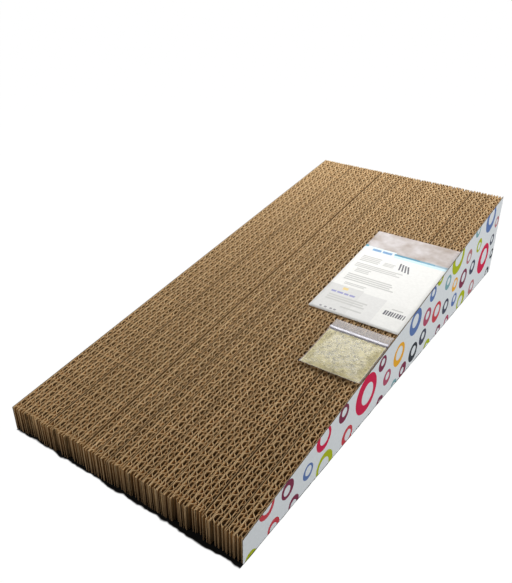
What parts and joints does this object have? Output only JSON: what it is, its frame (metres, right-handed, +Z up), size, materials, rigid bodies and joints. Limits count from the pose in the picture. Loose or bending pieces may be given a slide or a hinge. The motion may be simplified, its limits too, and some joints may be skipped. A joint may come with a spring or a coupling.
{
  "type": "cardboard cat scratcher",
  "caption": "Wedge-shaped cat scratching pad of upright corrugated board strips with printed side panels, a loose printed card and a small press-seal bag of dried herb",
  "frame": {"origin": "middle of the underside", "axes": "+Y from the low end to the high end, +X to the right seen from the low end, +Z up"},
  "size_m": [0.205, 0.45, 0.083],
  "materials": {
    "corrugated_board": "bare kraft double-wall board, cut edges up",
    "printed_panel": "white coated card printed with plain coloured rings",
    "leaflet_print": null,
    "bag_film": "thin clear polyethylene film",
    "press_seal": "milky polyethylene profile",
    "dried_herb": "chopped dried leaf and stem, pale yellow-green"
  },
  "bodies": {
    "pad": {"corrugated_strip_01": "corrugated_board", "corrugated_strip_02": "corrugated_board", "corrugated_strip_03": "corrugated_board", "corrugated_strip_04": "corrugated_board", "corrugated_strip_05": "corrugated_board", "corrugated_strip_06": "corrugated_board", "corrugated_strip_07": "corrugated_board", "corrugated_strip_08": "corrugated_board", "corrugated_strip_09": "corrugated_board", "corrugated_strip_10": "corrugated_board", "corrugated_strip_11": "corrugated_board", "corrugated_strip_12": "corrugated_board", "corrugated_strip_13": "corrugated_board", "corrugated_strip_14": "corrugated_board", "corrugated_strip_15": "corrugated_board", "corrugated_strip_16": "corrugated_board", "corrugated_strip_17": "corrugated_board", "corrugated_strip_18": "corrugated_board", "corrugated_strip_19": "corrugated_board", "corrugated_strip_20": "corrugated_board", "corrugated_strip_21": "corrugated_board", "corrugated_strip_22": "corrugated_board", "corrugated_strip_23": "corrugated_board", "corrugated_strip_24": "corrugated_board", "corrugated_strip_25": "corrugated_board", "corrugated_strip_26": "corrugated_board", "corrugated_strip_27": "corrugated_board", "corrugated_strip_28": "corrugated_board", "corrugated_strip_29": "corrugated_board", "corrugated_strip_30": "corrugated_board", "corrugated_strip_31": "corrugated_board", "corrugated_strip_32": "corrugated_board", "corrugated_strip_33": "corrugated_board", "corrugated_strip_34": "corrugated_board", "left_side_panel": "printed_panel", "right_side_panel": "printed_panel"},
    "leaflet": {"leaflet_card": "leaflet_print"},
    "catnip_bag": {"bag_back_film": "bag_film", "bag_front_film": "bag_film", "seal_track": "press_seal", "seal_rib": "press_seal", "catnip": "dried_herb"}
  },
  "joints": [
    {"name": "leaflet_lift", "type": "slide", "parent": "pad", "child": "leaflet", "axis": [0, 0, 1], "range_m": [0, 0.1]},
    {"name": "catnip_bag_lift", "type": "slide", "parent": "pad", "child": "catnip_bag", "axis": [0, 0, 1], "range_m": [0, 0.1]}
  ]
}
